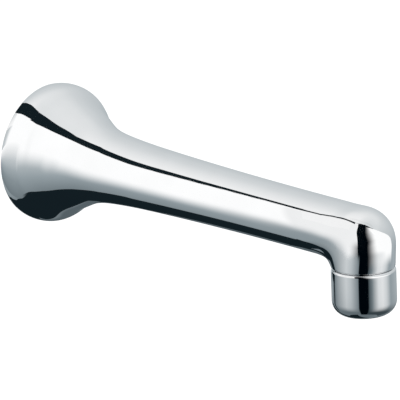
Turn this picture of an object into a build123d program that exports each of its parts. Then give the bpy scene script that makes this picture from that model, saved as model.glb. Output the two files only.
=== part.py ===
"""Wall spout: a cast brass bell, tube and elbow, with a screw-on aerator under its outlet.

Millimetres. The origin is the middle of the wall face on the tube's axis, the spout reaches out along -Y,
and +Z is up. Everything below the outlet seam is made in the outlet's own frame: its origin is the middle of
the seam, and its Z axis is the axis of the outlet, pointing up.
"""
import os
from math import cos, radians, sin, sqrt, tan

from build123d import *

# Bell and tube, as radii about the tube's axis and distances from the wall
RIM_RADIUS = 30.8
BELL_RADIUS = 31.6
BELL_SWELL = 4.5
BELL_LENGTH = 75.0
NECK_RADIUS = 14.0
TUBE_RADIUS = 12.6
# The bell's hollow curve: share of its length, share of the way from the neck out to its widest place
BELL_CURVE = ((0.13, 0.945), (0.19, 0.765), (0.30, 0.49), (0.42, 0.25), (0.62, 0.09))

# Elbow and outlet
REACH = 189.0
SEAM_DROP = 13.6
OUTLET_LEAN = 3.0
NOZZLE_RADIUS = 13.75
INNER_BEND_RUN = 9.0
OUTER_BEND_RADIUS = 13.4
KNUCKLE_OVERHANG = 0.9
ELBOW_SECTIONS = 8

# Back of the bell and the waterway
BELL_WALL = 3.6
RECESS_DEPTH = 16.0
RECESS_SHOULDER = 8.0
RECESS_FLOOR_RADIUS = 20.5
RECESS_ROUND = 3.0
INLET_THREAD_RADIUS = 9.32
INLET_THREAD_DEPTH = 15.0
INLET_CHAMFER = 1.2
WATERWAY_RADIUS = 8.5

# Screw joint between the nozzle and the aerator housing
SPIGOT_RADIUS = 11.9
SPIGOT_LENGTH = 8.5
SPIGOT_CHAMFER = 0.6
THREAD_GAP = 0.1
SEAM_GAP = 0.3

# Aerator housing
COLLAR_RADIUS = 14.0
COLLAR_HEIGHT = 20.6
COLLAR_TOP_ROUND = 1.3
COLLAR_BOTTOM_ROUND = 6.6
MOUTH_RADIUS = 8.8
MOUTH_LIP = 2.2

# Aerator insert, from the gasket down
GASKET_THICKNESS = 1.5
GASKET_BORE = 9.0
INSERT_GAP = 0.15
CASE_FLANGE = 1.2
CASE_FLANGE_RADIUS = 11.7
CASE_RADIUS = 10.3
CASE_WALL = 1.0
CASE_LIP = 0.7
CASE_LIP_REACH = 0.8
STACK_GAP = 0.1
STRAINER_RIM = 0.8
STRAINER_RIM_WIDTH = 1.4
STRAINER_RISE = 4.0
STRAINER_WALL = 0.7
STRAINER_SLOTS = 16
STRAINER_SLOT_WIDTH = 0.7
STRAINER_CROWN = 2.4
SEAT_THICKNESS = 1.9
SEAT_CHANNEL_DEPTH = 1.1
SEAT_SLOTS = 12
SEAT_SLOT_RADIUS = 0.5
RING_RADIUS = 5.6
RING_THICKNESS = 1.6
RING_GAP = 0.25
PLATE_THICKNESS = 1.0
PLATE_HOLES = 18
PLATE_HOLE_RADIUS = 0.45
PLATE_HOLE_CIRCLE = 5.6
SCREEN_HEIGHT = 1.6
SCREEN_RIM_WIDTH = 0.9
SCREEN_MESH = 0.5
SCREEN_PITCH = 1.8
SCREEN_WIRE = 0.5
GRID_CELL = 1.0
GRID_WALL = 0.4
GRID_RIM_WIDTH = 0.8

# Places that follow from these sizes
LEAN = radians(OUTLET_LEAN)
SEAM = Vector(0, -REACH, -SEAM_DROP)
SEAM_OUTWARD = Vector(0, -cos(LEAN), sin(LEAN))
OUTLET = Plane(origin=SEAM, x_dir=(1, 0, 0), z_dir=(0, sin(LEAN), cos(LEAN)))
BEND_CENTRE = Vector(0, -REACH + SEAM_DROP * tan(LEAN), 0)
TUBE_END = REACH - NOZZLE_RADIUS * cos(LEAN) - INNER_BEND_RUN
COLLAR_BOTTOM = -SEAM_GAP - COLLAR_HEIGHT
CASE_BOTTOM = COLLAR_BOTTOM + MOUTH_LIP
GASKET_TOP = -SPIGOT_LENGTH
CASE_TOP = GASKET_TOP - GASKET_THICKNESS
CASE_BORE = CASE_RADIUS - CASE_WALL
STACK_RADIUS = CASE_BORE - STACK_GAP
SEAT_TOP = CASE_TOP - STRAINER_RIM
PLATE_TOP = SEAT_TOP - SEAT_THICKNESS
SCREEN_TOP = PLATE_TOP - PLATE_THICKNESS
GRID_TOP = SCREEN_TOP - SCREEN_HEIGHT
GRID_BOTTOM = CASE_BOTTOM + CASE_LIP


def turned(*points):
    """Solid of revolution about Z from (radius, height) corners."""
    return revolve(make_face(Plane.XZ * Polyline(*points, close=True)), Axis.Z)


def disc(radius, top, bottom):
    return Pos(0, 0, bottom) * Cylinder(radius, top - bottom, align=(Align.CENTER, Align.CENTER, Align.MIN))


def drilled(radius, start, end):
    """Round rod from one point to another."""
    way = end - start
    rod = Cylinder(radius, way.length, align=(Align.CENTER, Align.CENTER, Align.MIN))
    return Plane(origin=start, z_dir=way) * rod


def bell_and_tube():
    """Bell, neck and tapering tube, turned about the tube's axis."""
    flare = BELL_RADIUS - NECK_RADIUS
    hollow = [(NECK_RADIUS + out * flare, -along * BELL_LENGTH) for along, out in BELL_CURVE]
    rim = (RIM_RADIUS, 0)
    widest = (BELL_RADIUS, -BELL_SWELL)
    neck = (NECK_RADIUS, -BELL_LENGTH)
    end = (TUBE_RADIUS, -TUBE_END)
    swell = TangentArc(widest, rim, tangent=(0, 1))
    sweep_out = Spline(widest, *hollow, neck, end, tangents=((0, -1), (0, -1)), tangent_scalars=(1, 1))
    back = Polyline(end, (0, -TUBE_END), (0, 0), rim)
    return revolve(make_face(Curve() + swell + sweep_out + back), Axis.Y)


def elbow():
    """Knuckle elbow, lofted through ellipses that span its inner and outer curves."""
    tube_bottom = Vector(0, -TUBE_END, -TUBE_RADIUS)
    tube_top = Vector(0, -TUBE_END, TUBE_RADIUS)
    seam_inner = SEAM - SEAM_OUTWARD * NOZZLE_RADIUS
    seam_outer = SEAM + SEAM_OUTWARD * NOZZLE_RADIUS
    knuckle = Vector(0, seam_outer.Y - KNUCKLE_OVERHANG, TUBE_RADIUS)
    inner = TangentArc(tube_bottom, seam_inner, tangent=(0, -1, 0))
    outer = FilletPolyline(tube_top, knuckle, seam_outer, radius=OUTER_BEND_RADIUS)
    sections = []
    for step in range(ELBOW_SECTIONS):
        along = step / (ELBOW_SECTIONS - 1)
        low = inner.position_at(along)
        high = outer.position_at(along)
        across = high - low
        ease = along * along * (3 - 2 * along)
        half_width = TUBE_RADIUS + (NOZZLE_RADIUS - TUBE_RADIUS) * ease
        half_height = max(across.length / 2, half_width)
        place = Plane(origin=(low + high) / 2, x_dir=across, z_dir=across.cross(Vector(1, 0, 0)))
        sections.append(place * Ellipse(half_height, half_width))
    return loft(sections)


def bell_recess():
    """Hollow at the back of the bell, a wall's thickness inside it."""
    mouth = RIM_RADIUS - BELL_WALL
    corners = Polyline(
        (0, 0), (mouth, 0), (mouth, -RECESS_SHOULDER), (RECESS_FLOOR_RADIUS, -RECESS_DEPTH), (0, -RECESS_DEPTH),
        close=True,
    )
    hollow = make_face(corners)
    rounded = [v for v in hollow.vertices() if v.X > WATERWAY_RADIUS and v.Y < 0]
    return revolve(fillet(rounded, RECESS_ROUND), Axis.Y)


def inlet_thread():
    """Threaded socket at the floor of the recess, at its minor diameter, with a lead-in chamfer."""
    mouth = Vector(0, -RECESS_DEPTH, 0)
    bore = drilled(INLET_THREAD_RADIUS, mouth, mouth - Vector(0, INLET_THREAD_DEPTH, 0))
    lead_in = Cone(INLET_THREAD_RADIUS, INLET_THREAD_RADIUS + INLET_CHAMFER, INLET_CHAMFER)
    return bore + Pos(0, -RECESS_DEPTH - INLET_CHAMFER / 2, 0) * Rot(-90, 0, 0) * lead_in


def spigot():
    """Nozzle end that the aerator housing screws onto, at its thread's outside diameter."""
    tip = -SPIGOT_LENGTH
    return OUTLET * turned(
        (0, NOZZLE_RADIUS - SPIGOT_RADIUS), (SPIGOT_RADIUS, NOZZLE_RADIUS - SPIGOT_RADIUS),
        (SPIGOT_RADIUS, tip + SPIGOT_CHAMFER), (SPIGOT_RADIUS - SPIGOT_CHAMFER, tip), (0, tip),
    )


def spout_body():
    socket_end = Vector(0, -RECESS_DEPTH, 0)
    spigot_end = SEAM - OUTLET.z_dir * SPIGOT_LENGTH
    casting = bell_and_tube() + elbow() + spigot()
    casting -= bell_recess()
    casting -= inlet_thread()
    casting -= drilled(WATERWAY_RADIUS, socket_end, BEND_CENTRE)
    casting -= Pos(BEND_CENTRE) * Sphere(WATERWAY_RADIUS)
    return casting - drilled(WATERWAY_RADIUS, BEND_CENTRE, spigot_end)


def aerator_housing():
    """Cup with a rounded mouth, threaded inside at the top and stepped to hold the insert."""
    top = -SEAM_GAP
    thread_bore = SPIGOT_RADIUS + THREAD_GAP
    step = CASE_TOP - CASE_FLANGE - INSERT_GAP
    outside = make_face(Plane.XZ * Polyline(
        (0, COLLAR_BOTTOM), (COLLAR_RADIUS, COLLAR_BOTTOM), (COLLAR_RADIUS, top), (0, top), close=True))
    lower = outside.vertices().filter_by(lambda v: v.X > MOUTH_RADIUS).sort_by(Axis.Z)[0]
    outside = fillet(lower, COLLAR_BOTTOM_ROUND)
    upper = outside.vertices().filter_by(lambda v: v.X > MOUTH_RADIUS).sort_by(Axis.Z)[-1]
    cup = revolve(fillet(upper, COLLAR_TOP_ROUND), Axis.Z)
    cup -= disc(thread_bore, top, step)
    cup -= disc(CASE_RADIUS + INSERT_GAP, step, CASE_BOTTOM)
    return cup - disc(MOUTH_RADIUS, CASE_BOTTOM, COLLAR_BOTTOM)


def aerator_gasket():
    return disc(SPIGOT_RADIUS, GASKET_TOP, CASE_TOP) - disc(GASKET_BORE, GASKET_TOP, CASE_TOP)


def cartridge_case():
    """Flanged sleeve that holds the insert's discs, with a lip under the lowest one."""
    flange_under = CASE_TOP - CASE_FLANGE
    sleeve = disc(CASE_FLANGE_RADIUS, CASE_TOP, flange_under) + disc(CASE_RADIUS, flange_under, CASE_BOTTOM)
    sleeve -= disc(CASE_BORE, CASE_TOP, GRID_BOTTOM)
    return sleeve - disc(CASE_BORE - CASE_LIP_REACH, GRID_BOTTOM, CASE_BOTTOM)


def dome(foot_radius, rise):
    """Spherical cap on the plane Z = 0."""
    ball_radius = (foot_radius ** 2 + rise ** 2) / (2 * rise)
    ball = Pos(0, 0, rise - ball_radius) * Sphere(ball_radius)
    return ball & disc(ball_radius, rise, 0)


def inlet_strainer():
    """Slotted dome on a flat rim."""
    dome_foot = STACK_RADIUS - STRAINER_RIM_WIDTH
    shell = dome(dome_foot, STRAINER_RISE) - dome(dome_foot - STRAINER_WALL, STRAINER_RISE - STRAINER_WALL)
    slot_length = dome_foot - STRAINER_WALL - STRAINER_CROWN
    slot = Pos(STRAINER_CROWN + slot_length / 2, 0, STRAINER_RISE / 2) * Box(
        slot_length, STRAINER_SLOT_WIDTH, 2 * STRAINER_RISE)
    shell -= PolarLocations(0, STRAINER_SLOTS) * slot
    rim = disc(STACK_RADIUS, 0, -STRAINER_RIM) - disc(dome_foot - STRAINER_WALL, 0, -STRAINER_RIM)
    return Pos(0, 0, CASE_TOP) * (rim + shell)


def regulator_channel():
    """Half width of the channel that the O-ring lies in."""
    return RING_THICKNESS / 2 + RING_GAP


def regulator_seat():
    """Disc with a round channel for the O-ring and a circle of holes in the channel's floor."""
    floor = SEAT_TOP - SEAT_CHANNEL_DEPTH
    half = regulator_channel()
    seat = disc(STACK_RADIUS, SEAT_TOP, PLATE_TOP)
    seat -= disc(RING_RADIUS + half, SEAT_TOP, floor) - disc(RING_RADIUS - half, SEAT_TOP, floor)
    return seat - PolarLocations(RING_RADIUS, SEAT_SLOTS) * disc(SEAT_SLOT_RADIUS, floor, PLATE_TOP)


def regulator_ring():
    floor = SEAT_TOP - SEAT_CHANNEL_DEPTH
    return Pos(0, 0, floor + RING_THICKNESS / 2) * Torus(RING_RADIUS, RING_THICKNESS / 2)


def jet_plate():
    holes = PolarLocations(PLATE_HOLE_CIRCLE, PLATE_HOLES) * disc(PLATE_HOLE_RADIUS, PLATE_TOP, SCREEN_TOP)
    return disc(STACK_RADIUS, PLATE_TOP, SCREEN_TOP) - holes


def cells_inside(places, radius):
    """Those of a pattern's places that lie within a radius."""
    return [place for place in places if place.position.length < radius]


def mixing_screen():
    """Square mesh across the foot of a spacing ring."""
    mesh_radius = STACK_RADIUS - SCREEN_RIM_WIDTH
    hole = SCREEN_PITCH - SCREEN_WIRE
    across = 2 * int(mesh_radius / SCREEN_PITCH) + 1
    places = cells_inside(GridLocations(SCREEN_PITCH, SCREEN_PITCH, across, across),
                          mesh_radius - hole / sqrt(2))
    holes = extrude(Sketch() + [place * Rectangle(hole, hole) for place in places], SCREEN_HEIGHT)
    ring = disc(STACK_RADIUS, SCREEN_TOP, GRID_TOP)
    ring -= disc(mesh_radius, SCREEN_TOP, GRID_TOP + SCREEN_MESH)
    return ring - Pos(0, 0, GRID_TOP) * holes


def outlet_grid():
    """Honeycomb inside a plain rim."""
    comb_radius = STACK_RADIUS - GRID_RIM_WIDTH
    pitch = GRID_CELL + GRID_WALL / 2
    across = 2 * int(comb_radius / pitch) + 1
    places = cells_inside(HexLocations(pitch, across, across, major_radius=False),
                          comb_radius - GRID_CELL * 2 / sqrt(3))
    cells = Sketch() + [place * RegularPolygon(GRID_CELL, 6, major_radius=False, rotation=30) for place in places]
    return disc(STACK_RADIUS, GRID_TOP, GRID_BOTTOM) - Pos(0, 0, GRID_BOTTOM) * extrude(cells, GRID_TOP - GRID_BOTTOM)


AERATOR = (
    aerator_housing, aerator_gasket, cartridge_case, inlet_strainer, regulator_seat, regulator_ring,
    jet_plate, mixing_screen, outlet_grid,
)

os.makedirs("parts", exist_ok=True)
export_step(spout_body(), "parts/spout_body.step")
for piece in AERATOR:
    export_step(OUTLET.location * piece(), f"parts/{piece.__name__}.step")
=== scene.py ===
"""Looks of the chromed wall spout: mirror-smooth skins over the solids, finishes, studio and camera."""
import math

import bpy
import numpy as np
from mathutils import Matrix, Vector


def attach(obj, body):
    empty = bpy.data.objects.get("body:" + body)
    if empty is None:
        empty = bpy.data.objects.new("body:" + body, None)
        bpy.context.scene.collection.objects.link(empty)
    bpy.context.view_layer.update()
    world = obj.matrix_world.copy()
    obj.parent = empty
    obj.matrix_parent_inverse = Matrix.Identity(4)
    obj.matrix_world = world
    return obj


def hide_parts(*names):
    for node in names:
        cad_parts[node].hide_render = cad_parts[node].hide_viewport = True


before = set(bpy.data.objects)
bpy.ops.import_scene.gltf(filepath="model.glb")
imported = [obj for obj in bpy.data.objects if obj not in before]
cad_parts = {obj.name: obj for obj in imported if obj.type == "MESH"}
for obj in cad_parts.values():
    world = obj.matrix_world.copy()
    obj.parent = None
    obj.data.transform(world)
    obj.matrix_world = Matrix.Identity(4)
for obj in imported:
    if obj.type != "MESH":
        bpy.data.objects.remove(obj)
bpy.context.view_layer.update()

# Millimetres, as on the solids
MM = 0.001
RIM_RADIUS = 30.8
BELL_RADIUS = 31.6
BELL_SWELL = 4.5
BELL_LENGTH = 75.0
NECK_RADIUS = 14.0
TUBE_RADIUS = 12.6
BELL_CURVE = ((0.13, 0.945), (0.19, 0.765), (0.30, 0.49), (0.42, 0.25), (0.62, 0.09))
REACH = 189.0
SEAM_DROP = 13.6
LEAN = math.radians(3.0)
NOZZLE_RADIUS = 13.75
INNER_BEND_RUN = 9.0
OUTER_BEND_RADIUS = 13.4
KNUCKLE_OVERHANG = 0.9
ELBOW_SECTIONS = 8
BELL_WALL = 3.6
RECESS_DEPTH = 16.0
RECESS_SHOULDER = 8.0
RECESS_FLOOR_RADIUS = 20.5
RECESS_ROUND = 3.0
INLET_THREAD_RADIUS = 9.32
INLET_THREAD_DEPTH = 15.0
INLET_CHAMFER = 1.2
WATERWAY_RADIUS = 8.5
SPIGOT_RADIUS = 11.9
SPIGOT_LENGTH = 8.5
SPIGOT_CHAMFER = 0.6
THREAD_GAP = 0.1
SEAM_GAP = 0.3
COLLAR_RADIUS = 14.0
COLLAR_HEIGHT = 20.6
COLLAR_TOP_ROUND = 1.3
COLLAR_BOTTOM_ROUND = 6.6
MOUTH_RADIUS = 8.8
MOUTH_LIP = 2.2
GASKET_THICKNESS = 1.5
INSERT_GAP = 0.15
CASE_FLANGE = 1.2
CASE_RADIUS = 10.3

# Detail that only the skins have
PIPE_THREAD_PITCH = 1.814
PIPE_THREAD_DEPTH = 1.16
NOZZLE_EDGE_ROUND = 0.7
MOUTH_EDGE_ROUND = 0.4
RIM_EDGE_ROUND = 0.35
AROUND = 176
ARC_STEP = math.radians(4.0)
SWELL_STEPS = 8
BELL_STEPS = 110
TUBE_STEPS = 40
ELBOW_STEPS = 90
THREAD_STEPS = 96
BELLY_STEPS = 40
LIP_STEPS = 7
EDGE_STEPS = 6
# Share of the elbow that lies above the nozzle's rounded edge
ELBOW_SHARE = 0.967

TUBE_END = REACH - NOZZLE_RADIUS * math.cos(LEAN) - INNER_BEND_RUN
X_AXIS = np.array([1.0, 0.0, 0.0])
TUBE_UP = np.array([0.0, 0.0, 1.0])
OUTLET_UP = np.array([0.0, math.sin(LEAN), math.cos(LEAN)])
OUTLET_OUT = np.array([0.0, -math.cos(LEAN), math.sin(LEAN)])
SEAM = np.array([0.0, -REACH, -SEAM_DROP])
BEND_CENTRE = np.array([0.0, -REACH + SEAM_DROP * math.tan(LEAN), 0.0])
TURN = np.linspace(0, 2 * math.pi, AROUND, endpoint=False)


# Curves

def cubic_through(points, start, end, shares):
    """Smooth cubic through points with given end slopes, read at shares of its chord length."""
    points = np.asarray(points, float)
    knots = np.r_[0, np.cumsum(np.linalg.norm(np.diff(points, axis=0), axis=1))]
    return cubic_at(knots, points, start, end, np.asarray(shares) * knots[-1])


def cubic_at(knots, points, start, end, places):
    """Cubic spline of points at knots, read at places between them."""
    count = len(knots)
    gap = np.diff(knots)
    matrix = np.eye(count)
    right = np.zeros_like(points)
    right[0] = start
    right[-1] = end
    for i in range(1, count - 1):
        matrix[i, i - 1:i + 2] = gap[i], 2 * (gap[i - 1] + gap[i]), gap[i - 1]
        before = (points[i] - points[i - 1]) * gap[i] / gap[i - 1]
        after = (points[i + 1] - points[i]) * gap[i - 1] / gap[i]
        right[i] = 3 * (before + after)
    slope = np.linalg.solve(matrix, right)
    span = np.clip(np.searchsorted(knots, places, side="right") - 1, 0, count - 2)
    size = gap[span][:, None]
    u = ((places - knots[span]) / gap[span])[:, None]
    return ((2 * u ** 3 - 3 * u ** 2 + 1) * points[span] + (u ** 3 - 2 * u ** 2 + u) * size * slope[span]
            + (3 * u ** 2 - 2 * u ** 3) * points[span + 1] + (u ** 3 - u ** 2) * size * slope[span + 1])


def rounded(corners):
    """Path through (radius, height, rounding) corners, with an arc at each rounded one."""
    path = [np.array(corners[0][:2], float)]
    for i in range(1, len(corners) - 1):
        here = np.array(corners[i][:2], float)
        size = corners[i][2]
        if size == 0:
            path.append(here)
            continue
        back = np.array(corners[i - 1][:2]) - here
        ahead = np.array(corners[i + 1][:2]) - here
        back /= np.linalg.norm(back)
        ahead /= np.linalg.norm(ahead)
        half = math.acos(np.clip(back @ ahead, -1, 1)) / 2
        middle = here + (back + ahead) / np.linalg.norm(back + ahead) * size / math.sin(half)
        first = here + back * size / math.tan(half) - middle
        last = here + ahead * size / math.tan(half) - middle
        sweep = math.pi - 2 * half
        for step in np.linspace(0, 1, max(3, round(sweep / ARC_STEP) + 1)):
            path.append(middle + (math.sin((1 - step) * sweep) * first + math.sin(step * sweep) * last)
                        / math.sin(sweep))
    path.append(np.array(corners[-1][:2], float))
    return np.array(path)


# Rings of points

def ring(centre, up, half_up, half_across):
    """Ellipse of points about a centre: half_up along up, half_across along X."""
    return (np.asarray(centre) + np.outer(np.cos(TURN), up) * half_up
            + np.outer(np.sin(TURN), X_AXIS) * half_across)


def tube_rings(path):
    """Rings about the tube's axis from (radius, distance from the wall) points."""
    return [ring((0, -away, 0), TUBE_UP, radius, radius) for radius, away in path]


def outlet_rings(path):
    """Rings about the outlet's axis from (radius, height above the seam) points."""
    return [ring(SEAM + OUTLET_UP * height, OUTLET_OUT, radius, radius) for radius, height in path]


def bell_path():
    """Outline of the bell and tube: rim arc, hollow flare, taper."""
    flare = BELL_RADIUS - NECK_RADIUS
    hollow = [(NECK_RADIUS + out * flare, along * BELL_LENGTH) for along, out in BELL_CURVE]
    tuck = BELL_RADIUS - RIM_RADIUS
    swell_radius = (tuck ** 2 + BELL_SWELL ** 2) / (2 * tuck)
    away = np.linspace(RIM_EDGE_ROUND, BELL_SWELL, SWELL_STEPS)[:-1]
    swell = np.c_[BELL_RADIUS - swell_radius + np.sqrt(swell_radius ** 2 - (BELL_SWELL - away) ** 2), away]
    points = [(BELL_RADIUS, BELL_SWELL), *hollow, (NECK_RADIUS, BELL_LENGTH), (TUBE_RADIUS, TUBE_END)]
    close = np.linspace(0, 0.5, BELL_STEPS, endpoint=False)
    sweep = cubic_through(points, (0, 1), (0, 1), np.r_[close, np.linspace(0.5, 1, TUBE_STEPS)])
    return np.concatenate([swell, sweep])


def elbow_rings(last_share):
    """Knuckle elbow: ellipses that span its inner and outer curves, up to a share of its length."""
    seam_inner = SEAM - OUTLET_OUT * NOZZLE_RADIUS
    seam_outer = SEAM + OUTLET_OUT * NOZZLE_RADIUS
    low_drop = -TUBE_RADIUS - seam_inner[2]
    low_radius = (INNER_BEND_RUN ** 2 + low_drop ** 2) / (2 * low_drop)
    low_turn = math.atan2(INNER_BEND_RUN, low_radius - low_drop)
    knuckle = (seam_outer[1] - KNUCKLE_OVERHANG, TUBE_RADIUS)
    outer = rounded([(-TUBE_END, TUBE_RADIUS, 0), (*knuckle, OUTER_BEND_RADIUS), (*seam_outer[1:], 0)])
    gone = np.r_[0, np.cumsum(np.linalg.norm(np.diff(outer, axis=0), axis=1))]
    share = np.linspace(0, 1, ELBOW_SECTIONS)
    turn = share * low_turn
    low = np.c_[-TUBE_END - low_radius * np.sin(turn), -TUBE_RADIUS - low_radius * (1 - np.cos(turn))]
    reached = share * gone[-1]
    high = np.c_[np.interp(reached, gone, outer[:, 0]), np.interp(reached, gone, outer[:, 1])]
    ease = share ** 2 * (3 - 2 * share)
    width = TUBE_RADIUS + (NOZZLE_RADIUS - TUBE_RADIUS) * ease
    table = np.c_[low, high, width]
    low_length = low_radius * low_turn
    start = (-low_length, 0, -gone[-1], 0, 0)
    end_way = (outer[-1] - outer[-2]) / np.linalg.norm(outer[-1] - outer[-2]) * gone[-1]
    end = (-low_length * math.cos(low_turn), -low_length * math.sin(low_turn), *end_way, 0)
    smooth = cubic_at(share, table, start, end, np.linspace(0, last_share, ELBOW_STEPS))
    rings = []
    for low_y, low_z, high_y, high_z, half_across in smooth[1:]:
        across = np.array([0, high_y - low_y, high_z - low_z])
        half_up = np.linalg.norm(across) / 2
        centre = (0, (low_y + high_y) / 2, (low_z + high_z) / 2)
        rings.append(ring(centre, across / (2 * half_up), half_up, half_across))
    return rings


def thread_rings():
    """Pipe thread of the inlet socket, cut outwards from its minor diameter, from its inner end."""
    inner_end = RECESS_DEPTH + INLET_THREAD_DEPTH
    mouth = RECESS_DEPTH + INLET_CHAMFER
    rings = []
    for away in np.linspace(inner_end - PIPE_THREAD_PITCH, mouth, THREAD_STEPS):
        phase = away / PIPE_THREAD_PITCH - TURN / (2 * math.pi)
        depth = np.clip(1.2 * np.abs(2 * (phase % 1) - 1) - 0.1, 0, 1)
        run_out = np.clip((inner_end - PIPE_THREAD_PITCH / 2 - away) / PIPE_THREAD_PITCH, 0, 1)
        radius = INLET_THREAD_RADIUS + PIPE_THREAD_DEPTH * depth * run_out
        points = np.outer(np.cos(TURN), TUBE_UP) + np.outer(np.sin(TURN), X_AXIS)
        rings.append(points * radius[:, None] + np.array([0, -away, 0]))
    return rings


def waterway_rings():
    """Bore from the spigot's tip, through a mitre, to the inner end of the inlet socket."""
    socket = RECESS_DEPTH + INLET_THREAD_DEPTH
    mitre_up = OUTLET_OUT + TUBE_UP
    mitre_up /= np.linalg.norm(mitre_up)
    stretch = 1 / math.cos((math.pi / 2 - LEAN) / 2)
    rings = outlet_rings([(WATERWAY_RADIUS, -SPIGOT_LENGTH)])
    rings.append(ring(BEND_CENTRE, mitre_up, WATERWAY_RADIUS * stretch, WATERWAY_RADIUS))
    rings += tube_rings([(WATERWAY_RADIUS, socket), (INLET_THREAD_RADIUS, socket)])
    return rings


def recess_path():
    """Back of the bell: socket chamfer, floor, cone, wall and the flat that meets the wall."""
    mouth = RIM_RADIUS - BELL_WALL
    return rounded([
        (INLET_THREAD_RADIUS, RECESS_DEPTH + INLET_CHAMFER, 0),
        (INLET_THREAD_RADIUS + INLET_CHAMFER, RECESS_DEPTH, 0),
        (RECESS_FLOOR_RADIUS, RECESS_DEPTH, RECESS_ROUND),
        (mouth, RECESS_SHOULDER, RECESS_ROUND),
        (mouth, 0, RIM_EDGE_ROUND),
        (RIM_RADIUS - RIM_EDGE_ROUND, 0, 0),
    ])


def nozzle_path():
    """Rounded edge of the nozzle, its shoulder and the spigot inside the collar."""
    turn = np.linspace(0, math.pi / 2, EDGE_STEPS)
    edge = np.c_[NOZZLE_RADIUS - NOZZLE_EDGE_ROUND * (1 - np.cos(turn)),
                 NOZZLE_EDGE_ROUND * (1 - np.sin(turn))]
    tip = -SPIGOT_LENGTH
    spigot = [(SPIGOT_RADIUS, 0), (SPIGOT_RADIUS, tip + SPIGOT_CHAMFER),
              (SPIGOT_RADIUS - SPIGOT_CHAMFER, tip)]
    return np.concatenate([edge, spigot])


def collar_path():
    """Closed section of the aerator housing: rounded top and mouth, threaded bore, step and lip."""
    bottom = -SEAM_GAP - COLLAR_HEIGHT
    case_bottom = bottom + MOUTH_LIP
    case_top = -SPIGOT_LENGTH - GASKET_THICKNESS
    step = case_top - CASE_FLANGE - INSERT_GAP
    bore = SPIGOT_RADIUS + THREAD_GAP
    chamber = CASE_RADIUS + INSERT_GAP
    inset = COLLAR_RADIUS - COLLAR_BOTTOM_ROUND
    last = math.acos((MOUTH_RADIUS + MOUTH_EDGE_ROUND - inset) / COLLAR_BOTTOM_ROUND)
    turn = np.linspace(0, last, BELLY_STEPS)
    belly = np.c_[inset + COLLAR_BOTTOM_ROUND * np.cos(turn),
                  bottom + COLLAR_BOTTOM_ROUND * (1 - np.sin(turn))]
    lip = belly[-1, 1] + MOUTH_EDGE_ROUND * math.sin(last)
    curl = np.linspace(0, 1, LIP_STEPS)[1:]
    mouth = np.c_[MOUTH_RADIUS + MOUTH_EDGE_ROUND * (1 - np.sin(curl * math.pi / 2)),
                  belly[-1, 1] + (lip - belly[-1, 1]) * (1 - np.cos(curl * math.pi / 2))]
    top = rounded([(bore, -SEAM_GAP, 0), (COLLAR_RADIUS, -SEAM_GAP, COLLAR_TOP_ROUND), belly[0]])
    inside = [(MOUTH_RADIUS, case_bottom), (chamber, case_bottom), (chamber, step), (bore, step)]
    return np.concatenate([top[:-1], belly, mouth, inside])


# Meshes

def skin(name, rings, materials, plated):
    """Closed mesh through a loop of rings: the plated ones in the first material, the rest in the last."""
    count = len(rings)
    points = np.concatenate(rings) * MM
    faces = []
    for i in range(count):
        here, after = i * AROUND, (i + 1) % count * AROUND
        for j in range(AROUND):
            k = (j + 1) % AROUND
            faces.append((here + j, here + k, after + k, after + j))
    mesh = bpy.data.meshes.new(name)
    mesh.from_pydata(points.tolist(), [], faces)
    for material in materials:
        mesh.materials.append(material)
    slots = np.zeros(len(faces), np.int32)
    slots[plated * AROUND:] = len(materials) - 1
    mesh.polygons.foreach_set("material_index", slots)
    mesh.polygons.foreach_set("use_smooth", np.ones(len(faces), bool))
    mesh.set_sharp_from_angle(angle=math.radians(32))
    mesh.validate()
    piece = bpy.data.objects.new(name, mesh)
    bpy.context.scene.collection.objects.link(piece)
    return piece


# Finishes

def node_material(name):
    material = bpy.data.materials.new(name)
    material.use_nodes = True
    nodes = material.node_tree.nodes
    return material, nodes, material.node_tree.links, nodes["Principled BSDF"]


def noise(nodes, links, scale, detail=2.0):
    """Noise in the object's own space, in features per metre."""
    place = nodes.new("ShaderNodeTexCoord")
    texture = nodes.new("ShaderNodeTexNoise")
    texture.inputs["Scale"].default_value = scale
    texture.inputs["Detail"].default_value = detail
    links.new(place.outputs["Object"], texture.inputs["Vector"])
    return texture.outputs["Fac"]


def vary(nodes, links, source, low, high, socket):
    """Noise turned into a range of values."""
    spread = nodes.new("ShaderNodeMapRange")
    spread.inputs["From Min"].default_value = 0.3
    spread.inputs["From Max"].default_value = 0.7
    spread.inputs["To Min"].default_value = low
    spread.inputs["To Max"].default_value = high
    links.new(source, spread.inputs["Value"])
    links.new(spread.outputs["Result"], socket)


def tint(nodes, links, source, dark, light, socket):
    """Noise turned into a range of colours."""
    ramp = nodes.new("ShaderNodeValToRGB")
    ramp.color_ramp.elements[0].color = (*dark, 1)
    ramp.color_ramp.elements[1].color = (*light, 1)
    ramp.color_ramp.elements[0].position = 0.3
    ramp.color_ramp.elements[1].position = 0.7
    links.new(source, ramp.inputs["Fac"])
    links.new(ramp.outputs["Color"], socket)


def emboss(nodes, links, source, distance, shader):
    bump = nodes.new("ShaderNodeBump")
    bump.inputs["Strength"].default_value = 1.0
    bump.inputs["Distance"].default_value = distance
    links.new(source, bump.inputs["Height"])
    links.new(bump.outputs["Normal"], shader.inputs["Normal"])


def chrome(name, waviness):
    """Polished plate: a faint cloud in its gloss and the slight waviness of hand polishing."""
    material, nodes, links, shader = node_material(name)
    shader.inputs["Metallic"].default_value = 1.0
    tint(nodes, links, noise(nodes, links, 60), (0.905, 0.91, 0.915), (0.935, 0.94, 0.945),
         shader.inputs["Base Color"])
    vary(nodes, links, noise(nodes, links, 220, 4), 0.018, 0.04, shader.inputs["Roughness"])
    emboss(nodes, links, noise(nodes, links, 55, 1), waviness, shader)
    return material


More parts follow.
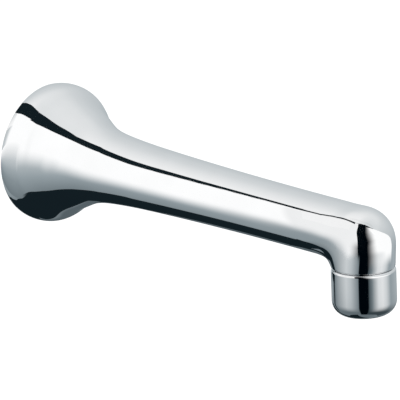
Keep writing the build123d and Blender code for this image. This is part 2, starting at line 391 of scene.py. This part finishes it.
def raw_brass(name):
    """Unplated casting and machined thread inside the body."""
    material, nodes, links, shader = node_material(name)
    shader.inputs["Metallic"].default_value = 1.0
    tint(nodes, links, noise(nodes, links, 180, 4), (0.42, 0.30, 0.13), (0.62, 0.47, 0.22),
         shader.inputs["Base Color"])
    vary(nodes, links, noise(nodes, links, 900, 3), 0.32, 0.52, shader.inputs["Roughness"])
    emboss(nodes, links, noise(nodes, links, 1400, 3), 0.00006, shader)
    return material


def moulded(name, dark, light, rough):
    """Moulded plastic or rubber with a fine matt grain."""
    material, nodes, links, shader = node_material(name)
    tint(nodes, links, noise(nodes, links, 250, 3), dark, light, shader.inputs["Base Color"])
    vary(nodes, links, noise(nodes, links, 700, 3), rough - 0.08, rough + 0.08, shader.inputs["Roughness"])
    emboss(nodes, links, noise(nodes, links, 4000, 2), 0.00002, shader)
    return material


def wire(name):
    """Stainless wire of the mixing screen."""
    material, nodes, links, shader = node_material(name)
    shader.inputs["Metallic"].default_value = 1.0
    tint(nodes, links, noise(nodes, links, 900, 3), (0.50, 0.50, 0.49), (0.66, 0.66, 0.64),
         shader.inputs["Base Color"])
    vary(nodes, links, noise(nodes, links, 1500, 2), 0.25, 0.4, shader.inputs["Roughness"])
    return material


def finish_node(name, material):
    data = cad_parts[name].data
    data.materials.clear()
    data.materials.append(material)


# The object

body_chrome = chrome("chrome_body", 0.00003)
collar_chrome = chrome("chrome_collar", 0.00001)
brass = raw_brass("raw_brass")

outside = tube_rings(bell_path()) + elbow_rings(ELBOW_SHARE) + outlet_rings(nozzle_path())
inside = waterway_rings() + thread_rings() + tube_rings(recess_path()[1:])
rim_turn = np.linspace(0, math.pi / 2, EDGE_STEPS)[1:-1]
rim_edge = tube_rings(np.c_[RIM_RADIUS - RIM_EDGE_ROUND * (1 - np.sin(rim_turn)),
                            RIM_EDGE_ROUND * (1 - np.cos(rim_turn))])
body = skin("spout_skin", outside + inside + rim_edge, (body_chrome, brass), len(outside))
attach(body, "root")
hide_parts("spout_body")

collar = skin("collar_skin", outlet_rings(collar_path()), (collar_chrome,), 0)
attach(collar, "root")
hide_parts("aerator_housing")

white_plastic = moulded("white_plastic", (0.70, 0.70, 0.68), (0.82, 0.82, 0.80), 0.45)
grey_plastic = moulded("grey_plastic", (0.44, 0.46, 0.47), (0.56, 0.58, 0.59), 0.42)
rubber = moulded("black_rubber", (0.012, 0.012, 0.012), (0.03, 0.03, 0.03), 0.7)
finish_node("aerator_gasket", rubber)
finish_node("regulator_ring", rubber)
finish_node("cartridge_case", white_plastic)
finish_node("regulator_seat", white_plastic)
finish_node("inlet_strainer", moulded("blue_plastic", (0.10, 0.24, 0.45), (0.16, 0.33, 0.56), 0.4))
finish_node("jet_plate", grey_plastic)
finish_node("outlet_grid", grey_plastic)
finish_node("mixing_screen", wire("steel_mesh"))


# Camera

CAMERA_AZIMUTH = math.radians(-46.94)
CAMERA_ELEVATION = math.radians(17.13)
CAMERA_DISTANCE = 2.0
CAMERA_TARGET = Vector((0.0, -0.090, -0.010))
CAMERA_SIDE = 0.00264
CAMERA_LIFT = 0.00503
PIXELS_PER_METRE = 2270
IMAGE_SIDE = 400

back = Vector((math.sin(CAMERA_AZIMUTH) * math.cos(CAMERA_ELEVATION),
               -math.cos(CAMERA_AZIMUTH) * math.cos(CAMERA_ELEVATION), math.sin(CAMERA_ELEVATION)))
right = Vector((math.cos(CAMERA_AZIMUTH), math.sin(CAMERA_AZIMUTH), 0))
up = back.cross(right)
lens = bpy.data.cameras.new("camera")
lens.sensor_width = 36
lens.lens = PIXELS_PER_METRE * CAMERA_DISTANCE * lens.sensor_width / IMAGE_SIDE
lens.clip_end = 50
camera = bpy.data.objects.new("camera", lens)
spot = CAMERA_TARGET + back * CAMERA_DISTANCE + right * CAMERA_SIDE + up * CAMERA_LIFT
camera.matrix_world = Matrix.Translation(spot) @ Matrix((right, up, back)).transposed().to_4x4()
bpy.context.scene.collection.objects.link(camera)
bpy.context.scene.camera = camera


# Studio

def level(tone):
    """Light level of a tone from 0 to 255 on the screen."""
    share = tone / 255
    return share / 12.92 if share <= 0.04045 else ((share + 0.055) / 1.055) ** 2.4


def grey(tone):
    """Grey of a screen tone, cooler the darker it is."""
    cool = 8 * min(1, max(0, (250 - tone) / 90))
    return (level(max(0, tone - cool)), level(tone + 0.35 * cool), level(tone + cool), 1)


def bearing(azimuth, elevation):
    """Direction in the studio: degrees round from the camera to its right, and degrees above the floor."""
    turn = CAMERA_AZIMUTH + math.radians(azimuth)
    rise = math.radians(elevation)
    return Vector((math.sin(turn) * math.cos(rise), -math.cos(turn) * math.cos(rise), math.sin(rise)))


def stage_piece(name, points, faces, material, spread=None):
    """Piece of the studio that shows only in reflections. Spread gives each point its place on the sheet."""
    mesh = bpy.data.meshes.new(name)
    mesh.from_pydata(points, [], faces)
    mesh.materials.append(material)
    if spread:
        layer = mesh.uv_layers.new(name="sheet")
        for loop in mesh.loops:
            layer.data[loop.index].uv = spread[loop.vertex_index]
    piece = bpy.data.objects.new(name, mesh)
    piece.visible_camera = False
    piece.visible_diffuse = False
    piece.visible_shadow = False
    bpy.context.scene.collection.objects.link(piece)
    return piece


def tone_ramp(nodes, tones):
    """Ramp of screen tones at shares from 0 to 1."""
    ramp = nodes.new("ShaderNodeValToRGB")
    stops = ramp.color_ramp.elements
    stops[0].position, stops[1].position = 0, 1
    stops[0].color, stops[1].color = grey(tones[0][1]), grey(tones[-1][1])
    for share, tone in tones[1:-1]:
        stops.new(share).color = grey(tone)
    return ramp


def sheet_material(name, tone, soft):
    """Sheet of one tone, or of tones along its run. Soft is the share that fades at each edge and end."""
    material = bpy.data.materials.new(name)
    material.use_nodes = True
    nodes = material.node_tree.nodes
    links = material.node_tree.links
    nodes.clear()
    place = nodes.new("ShaderNodeUVMap")
    split = nodes.new("ShaderNodeSeparateXYZ")
    links.new(place.outputs["UV"], split.inputs["Vector"])
    cover = None
    sides = (("X", False), ("X", True), ("Y", False), ("Y", True))
    for (axis, far), share in zip(sides, soft):
        if share == 0:
            continue
        fade = nodes.new("ShaderNodeMapRange")
        fade.interpolation_type = "SMOOTHSTEP"
        fade.inputs["From Min"].default_value = 1.0 if far else 0.0
        fade.inputs["From Max"].default_value = 1.0 - share if far else share
        links.new(split.outputs[axis], fade.inputs["Value"])
        if cover is None:
            cover = fade.outputs["Result"]
        else:
            both = nodes.new("ShaderNodeMath")
            both.operation = "MULTIPLY"
            links.new(cover, both.inputs[0])
            links.new(fade.outputs["Result"], both.inputs[1])
            cover = both.outputs["Value"]
    glow = nodes.new("ShaderNodeEmission")
    if isinstance(tone, tuple):
        ramp = tone_ramp(nodes, tone)
        links.new(split.outputs["Y"], ramp.inputs["Fac"])
        links.new(ramp.outputs["Color"], glow.inputs["Color"])
    else:
        glow.inputs["Color"].default_value = grey(tone)
    output = nodes.new("ShaderNodeOutputMaterial")
    if cover is None:
        links.new(glow.outputs["Emission"], output.inputs["Surface"])
        return material
    clear = nodes.new("ShaderNodeBsdfTransparent")
    mix = nodes.new("ShaderNodeMixShader")
    links.new(cover, mix.inputs["Fac"])
    links.new(clear.outputs["BSDF"], mix.inputs[1])
    links.new(glow.outputs["Emission"], mix.inputs[2])
    links.new(mix.outputs["Shader"], output.inputs["Surface"])
    return material


def around(centre, distance):
    """Places on a ball about a centre, found by bearing."""
    return lambda azimuth, elevation: Vector(centre) + bearing(azimuth, elevation) * distance


def along_tube(centre, distance):
    """Places on a ball, found by lean along the tube and turn about it, from the left side upwards."""
    def place(lean, turn):
        lean, turn = math.radians(lean), math.radians(turn)
        way = Vector((-math.cos(lean) * math.cos(turn), math.sin(lean), math.cos(lean) * math.sin(turn)))
        return Vector(centre) + way * distance
    return place


def about_outlet(distance):
    """Places on an upright cylinder about the outlet, found by azimuth and by height in millimetres."""
    return lambda azimuth, height: Vector((0, -REACH * MM, height * MM)) + bearing(azimuth, 0) * distance


def sheet(name, place, edge, opposite, tone, soft=(0, 0, 0, 0)):
    """Sheet between two edges with as many points each, at places given by the place rule."""
    edge, opposite = np.array(edge, float), np.array(opposite, float)
    corners = np.arange(len(edge))
    runs = np.linspace(0, corners[-1], 8 * corners[-1] + 1)
    steps = np.linspace(0, 1, 13)
    points, spread, faces = [], [], []
    for run in runs:
        near = np.array([np.interp(run, corners, edge[:, axis]) for axis in (0, 1)])
        far = np.array([np.interp(run, corners, opposite[:, axis]) for axis in (0, 1)])
        for step in steps:
            points.append(place(*(near + (far - near) * step)))
            spread.append((step, run / corners[-1]))
    count = len(steps)
    for i in range(len(runs) - 1):
        for j in range(count - 1):
            k = i * count + j
            faces.append((k, k + 1, k + count + 1, k + count))
    return stage_piece(name, points, faces, sheet_material(name, tone, soft), spread)


def flat_card(name, height, tone, outline):
    """Level card of one tone, from (x, y) corners."""
    points = [(x, y, height) for x, y in outline]
    return stage_piece(name, points, [tuple(range(len(points)))], sheet_material(name, tone, (0, 0, 0, 0)))


def ring_tones(tones):
    """Tones at azimuths, as tones at shares of the ring's run."""
    first, last = tones[0][0], tones[-1][0]
    return tuple(((azimuth - first) / (last - first), tone) for azimuth, tone in tones)


def tent(centre, radius, tones):
    """Round light tent, with a tone for each elevation."""
    material = bpy.data.materials.new("tent")
    material.use_nodes = True
    nodes = material.node_tree.nodes
    links = material.node_tree.links
    nodes.clear()
    place = nodes.new("ShaderNodeTexCoord")
    split = nodes.new("ShaderNodeSeparateXYZ")
    heights = [((math.sin(math.radians(elevation)) + 1) / 2, tone) for elevation, tone in tones]
    ramp = tone_ramp(nodes, heights)
    glow = nodes.new("ShaderNodeEmission")
    output = nodes.new("ShaderNodeOutputMaterial")
    links.new(place.outputs["Generated"], split.inputs["Vector"])
    links.new(split.outputs["Z"], ramp.inputs["Fac"])
    links.new(ramp.outputs["Color"], glow.inputs["Color"])
    links.new(glow.outputs["Emission"], output.inputs["Surface"])
    rows, turns = 33, 64
    points, faces = [], []
    for i in range(rows):
        for j in range(turns):
            points.append(Vector(centre) + bearing(360 * j / turns, -90 + 180 * i / (rows - 1)) * radius)
    for i in range(rows - 1):
        for j in range(turns):
            k = (j + 1) % turns
            faces.append((i * turns + j, i * turns + k, (i + 1) * turns + k, (i + 1) * turns + j))
    return stage_piece("tent", points, faces, material)


def world_light(strength):
    """Even light from all round, which the camera sees as white."""
    world = bpy.data.worlds.new("studio")
    world.use_nodes = True
    nodes = world.node_tree.nodes
    path = nodes.new("ShaderNodeLightPath")
    bright = nodes.new("ShaderNodeMapRange")
    bright.inputs["To Min"].default_value = strength
    bright.inputs["To Max"].default_value = 1.0
    nodes["Background"].inputs["Color"].default_value = (1, 1, 1, 1)
    world.node_tree.links.new(path.outputs["Is Camera Ray"], bright.inputs["Value"])
    world.node_tree.links.new(bright.outputs["Result"], nodes["Background"].inputs["Strength"])
    bpy.context.scene.world = world


def soft_lamp(spot, side, power):
    """Large soft lamp, aimed at the spout, that polished metal doesn't mirror."""
    light = bpy.data.lights.new("soft_lamp", "AREA")
    light.size = side
    light.energy = power
    lamp = bpy.data.objects.new("soft_lamp", light)
    lamp.location = spot
    lamp.rotation_euler = (Vector(spot) - Vector(MIDDLE)).to_track_quat("Z", "Y").to_euler()
    lamp.visible_glossy = False
    bpy.context.scene.collection.objects.link(lamp)


def pale_floor(height, side):
    """Plain white floor. Polished metal mirrors the tent in its place."""
    material, nodes, links, shader = node_material("pale_floor")
    path = nodes.new("ShaderNodeLightPath")
    shader.inputs["Base Color"].default_value = (0.9, 0.9, 0.9, 1)
    shader.inputs["Roughness"].default_value = 0.9
    shader.inputs["Specular IOR Level"].default_value = 0.0
    shader.inputs["Emission Color"].default_value = (0.4, 0.4, 0.4, 1)
    links.new(path.outputs["Is Camera Ray"], shader.inputs["Emission Strength"])
    half = side / 2
    mesh = bpy.data.meshes.new("floor")
    corners = [(x * half, y * half, height) for x, y in ((-1, -1), (1, -1), (1, 1), (-1, 1))]
    mesh.from_pydata(corners, [], [(0, 1, 2, 3)])
    mesh.materials.append(material)
    floor = bpy.data.objects.new("floor", mesh)
    floor.visible_glossy = False
    bpy.context.scene.collection.objects.link(floor)


# Places in metres. Screen tones run from 0 to 255, and above that where the chrome takes its share.
MIDDLE = (0.0, -0.10, 0.0)
ELBOW = (0.0, -0.189, -0.010)
RIM_HIGH = (-0.024, -0.006, 0.018)
RIM_LOW = (-0.030, -0.004, -0.004)
WORLD_STRENGTH = 0.8
LAMP_SPOT = (-1.3, -1.0, 1.4)
LAMP_SIDE = 1.2
LAMP_POWER = 8.0
FLOOR_HEIGHT = -3.2
FLOOR_SIDE = 26.0
TENT_RADIUS = 36
TABLE_HEIGHT = -0.4
STRIP_HEIGHT = -0.1
RING_RADIUS = 0.04
WHITE = 262
BLACK = 26
TABLE_BLACK = 28

world_light(WORLD_STRENGTH)
soft_lamp(LAMP_SPOT, LAMP_SIDE, LAMP_POWER)
pale_floor(FLOOR_HEIGHT, FLOOR_SIDE)
tent(MIDDLE, TENT_RADIUS,
     ((-90, 104), (-70, 114), (-60, 128), (-50, 138), (-40, 149), (-30, 160), (-20, 174), (-10, 188),
      (0, 198), (20, 206), (40, 216), (60, 230), (90, 234)))
sheet("back_card", around(MIDDLE, 33), ((130, -62), (180, -62), (230, -62)),
      ((130, -12), (180, -12), (230, -12)), 96, (0.3, 0.3, 0.35, 0.35))

# Seen by the bell and the tube
sheet("left_softbox", along_tube(MIDDLE, 32),
      ((-60, -19), (-28, -19), (-13, -18), (-8, -27), (16, -38), (29, -46), (41, -51), (58, -50), (76, -40)),
      ((-60, 66), (-28, 66), (-13, 66), (-8, 65), (16, 65), (29, 65), (38, 56), (44, 66), (66, 76)),
      WHITE, (0.4, 0, 0.125, 0.12))
sheet("side_glow", along_tube(MIDDLE, 34), ((-5, 50), (40, 50), (76, 50)), ((-5, 118), (40, 118), (76, 118)),
      250, (0, 1, 0.3, 0))
sheet("far_bar", along_tube(MIDDLE, 30),
      ((-70, 60), (-28, 60), (-10, 58.5), (0, 58), (30, 56), (33, 52.5), (36, 48.5), (37.6, 47.5),
       (38.3, 50), (39.1, 55.5), (40.5, 58)),
      ((-70, 80), (-28, 79), (-10, 75), (0, 71.5), (30, 73.5), (32, 71), (35, 66.5), (37.6, 62.7),
       (38.3, 62.2), (39.1, 63), (40.5, 62.5)), BLACK)
flat_card("black_table", TABLE_HEIGHT, TABLE_BLACK,
          ((-0.27, -0.22), (-0.26, -0.05), (-0.225, 0.06), (-0.19, 0.14), (-0.155, 0.22), (-0.1, 0.28),
           (0.0, 0.45), (0.2, 0.62), (0.42, 0.39), (0.3, 0.345), (0.16, 0.21), (0.16, 0.15), (0.19, 0.1),
           (0.19, -0.1)))
flat_card("black_strip", STRIP_HEIGHT, TABLE_BLACK,
          ((-0.045, 0.03), (-0.043, 0.015), (-0.026, 0.003), (-0.019, -0.02), (-0.021, -0.048),
           (-0.036, -0.06), (-0.045, -0.085), (0.02, -0.088), (0.045, -0.07), (0.04, -0.05), (0.045, -0.02),
           (0.033, 0.0), (0.03, 0.03)))

# Seen by the rim
sheet("rim_bar", along_tube(RIM_HIGH, 0.03),
      ((-26, 68), (-4, 67.4), (10, 68.5), (22, 70.8), (32, 73.9), (41, 77.5), (51, 83), (60, 94), (66, 112)),
      ((-26, 94), (-14, 92.2), (1, 93.1), (15, 96.9), (24, 101), (32, 105.2), (39, 111.5), (46, 119.5),
       (51, 131)), BLACK)
sheet("rim_fill", along_tube(RIM_HIGH, 0.031), ((-26, 42), (0, 42), (22, 42), (41, 42), (56, 42)),
      ((-26, 74), (0, 74), (22, 77), (41, 84), (56, 96)), WHITE, (0, 0, 0.1, 0))
sheet("rim_shade", along_tube(RIM_LOW, 0.03), ((-33, 52), (-33, 8), (-33, -40), (-33, -76)),
      ((88, 52), (88, 8), (88, -40), (88, -90)),
      ((0, 262), (0.2, 231), (0.33, 201), (0.5, 170), (0.67, 147), (1, 122)), (0.2, 0, 0, 0))

# Seen by the elbow
sheet("right_softbox", around(ELBOW, 1.0),
      [(azimuth, -26) for azimuth in (2, 15, 30, 45, 60, 75, 90, 105, 115)],
      ((2, 53), (15, 50), (30, 46), (45, 39), (60, 30), (75, 20), (90, 9), (105, -4), (115, -18)),
      WHITE, (0.15, 0, 0, 0))
sheet("elbow_line", along_tube(ELBOW, 0.05),
      ((49, 59.3), (39, 60.4), (35.2, 63.4), (33.3, 66.4), (30, 66.3), (24.7, 64.4), (17.4, 61.4),
       (9.4, 58.6), (4, 57)),
      ((49, 62.3), (39, 63.4), (35.2, 66.2), (33.3, 69.4), (30.7, 70.4), (25.9, 68.7), (18.8, 65.4),
       (11.1, 63.3), (5, 62)), BLACK)
sheet("elbow_fill", along_tube(ELBOW, 0.051), ((48, 40), (38, 40), (33.5, 40), (25, 40), (10, 40)),
      ((48, 60.8), (38, 62), (33.5, 67.8), (25, 66.5), (10, 61)), 250)
sheet("elbow_glow", along_tube(ELBOW, 0.051), ((48, 60.8), (38, 62), (33.5, 67.8)),
      ((48, 75), (38, 76), (33.5, 82)), 246, (0, 1, 0.1, 0))
sheet("elbow_ceiling", along_tube(ELBOW, 0.125),
      ((37, 70), (30, 66.5), (20, 61), (10, 59), (0, 61), (-18, 65), (-31, 68), (-42, 75), (-51, 88)),
      [(lean, 115) for lean in (37, 30, 20, 10, 0, -18, -31, -42, -51)],
      ((0, 248), (0.4, 248), (0.6, 222), (1, 222)), (0, 1, 0.1, 0))
sheet("elbow_shade", along_tube(ELBOW, 0.13), ((75, -62), (55, -62), (38, -62), (10, -62)),
      ((75, 12), (55, 12), (38, 12), (10, 12)), 150, (0.2, 0.55, 0.6, 0.3))
sheet("elbow_veil", along_tube(ELBOW, 0.14), ((47, -20), (37, -20), (0, -20), (-60, -20)),
      ((47, 53), (37, 56), (0, 56), (-60, 56)), 246, (0.4, 0, 0.08, 0.1))
sheet("black_flag", around(ELBOW, 0.095),
      ((-20, -40), (-18, -17), (-25, -9), (-30, 3), (-34, 20), (-39, 35), (-41, 50), (-46, 58), (-40, 62)),
      ((16, -40), (11, -17), (5, -8), (1, 2), (0, 15), (-8, 28), (-12, 40), (-11, 58), (-12, 62)), 2)
sheet("right_shade", around(ELBOW, 0.1),
      ((8, -30), (8, -17), (2, -8), (-2, 2), (-3, 15), (-11, 28), (-15, 40), (-14, 58)),
      ((55, -30), (52, -17), (42, -8), (36, 2), (34, 15), (26, 28), (18, 40), (8, 58)), 4, (0, 1, 0, 0))
sheet("left_shade", around(ELBOW, 0.1), ((-8, -30), (-8, -10), (-15, 5), (-24, 22)),
      ((-58, -30), (-58, -10), (-58, 5), (-42, 22)), 4, (0, 1, 0, 0.4))

# Seen by the collar
COLLAR_TONES = ((-125, 126), (-105, 126), (-55, 210), (-40, 195), (-17, 126), (-16, 2), (11, 2), (13, 75),
                (22, 120), (42, 223), (56, 232), (70, 213), (88, 156), (125, 175))
UNDER_TONES = ((-125, 110), (-15, 105), (-14, 2), (12, 2), (16, 60), (125, 70))
RING_AZIMUTHS = range(-125, 126, 25)
sheet("collar_ring", about_outlet(RING_RADIUS), [(azimuth, -70) for azimuth in RING_AZIMUTHS],
      ((-125, -22), (-100, -15), (-75, -8), (-50, -8), (-25, -8), (0, -15), (25, -15), (50, -15), (75, -15),
       (100, -15), (125, -15)), ring_tones(COLLAR_TONES), (0.75, 0.12, 0, 0))
sheet("collar_under", about_outlet(RING_RADIUS + 0.0005), [(azimuth, -115) for azimuth in RING_AZIMUTHS],
      [(azimuth, -22) for azimuth in RING_AZIMUTHS], ring_tones(UNDER_TONES))
sheet("collar_line", about_outlet(RING_RADIUS - 0.0005), ((-115, -60), (-115, -30), (-126, -28), (-126, -14)),
      ((-107, -60), (-107, -30), (-104, -24), (-109, -14)), BLACK)

bpy.context.scene.view_settings.view_transform = "Standard"
